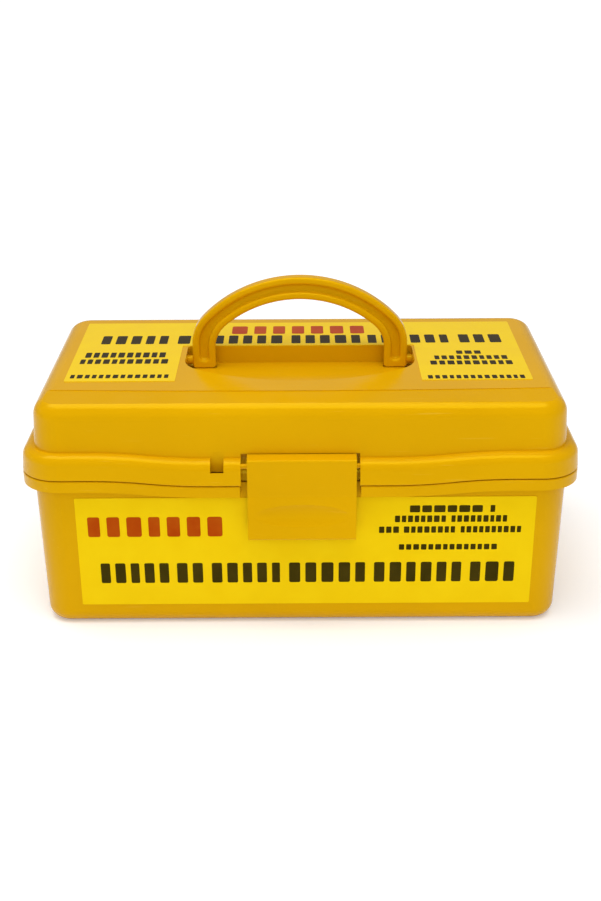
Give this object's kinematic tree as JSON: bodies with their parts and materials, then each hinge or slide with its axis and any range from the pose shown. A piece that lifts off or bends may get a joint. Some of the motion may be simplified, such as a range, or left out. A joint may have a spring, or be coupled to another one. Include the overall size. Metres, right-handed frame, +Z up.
{
  "type": "specimen transport case",
  "caption": "Rigid yellow plastic carrying case with a hinged lid, folding bail handle, front latch and lift-out racks for specimen cups.",
  "frame": {"origin": "middle of the tub's flat underside", "axes": "+X along the case's length, to the right seen from the latch side; -Y to the front; +Z up"},
  "size_m": [0.3122, 0.1838, 0.1826],
  "materials": {
    "case_plastic": "satin-gloss moulded polypropylene, yellow",
    "label_film": null,
    "pin_steel": "bright drawn wire",
    "screw_steel": "zinc plated",
    "stem_metal": "satin rod",
    "rack_plastic": "matt white sheet",
    "knob_plastic": "moulded, black",
    "absorbent_felt": "soft white needled felt"
  },
  "bodies": {
    "tub_body": {"tub": "case_plastic", "left_hinge_pin": "pin_steel", "right_hinge_pin": "pin_steel", "front_label": "label_film", "floor_pad": "absorbent_felt"},
    "lid_body": {"lid": "case_plastic", "latch_pin": "case_plastic", "top_label": "label_film"},
    "handle": {"carry_handle": "case_plastic"},
    "latch": {"front_latch": "case_plastic"},
    "urine_rack": {"urine_rack_base": "rack_plastic", "urine_rack_deck": "rack_plastic", "urine_rack_posts": "rack_plastic", "urine_rack_screws": "screw_steel", "urine_rack_stem": "stem_metal", "urine_rack_knob": "knob_plastic"},
    "stool_rack": {"stool_rack_base": "rack_plastic", "stool_rack_deck": "rack_plastic", "stool_rack_posts": "rack_plastic", "stool_rack_screws": "screw_steel", "stool_rack_stem": "stem_metal", "stool_rack_knob": "knob_plastic"}
  },
  "joints": [
    {"name": "lid_hinge", "type": "hinge", "parent": "tub_body", "child": "lid_body", "pos_m": [0, 0.0906, 0.0947], "axis": [-1, 0, 0], "range_deg": [0, 105]},
    {"name": "latch_swing", "type": "hinge", "parent": "lid_body", "child": "latch", "pos_m": [0, -0.0826, 0.1023], "axis": [-1, 0, 0], "range_deg": [0, 150]},
    {"name": "handle_fold", "type": "hinge", "parent": "lid_body", "child": "handle", "pos_m": [0, 0.0113, 0.1308], "axis": [1, 0, 0], "range_deg": [0, 90]},
    {"name": "urine_rack_lift", "type": "slide", "parent": "tub_body", "child": "urine_rack", "axis": [0, 0, 1], "range_m": [0, 0.012]},
    {"name": "stool_rack_lift", "type": "slide", "parent": "tub_body", "child": "stool_rack", "axis": [0, 0, 1], "range_m": [0, 0.012]}
  ]
}
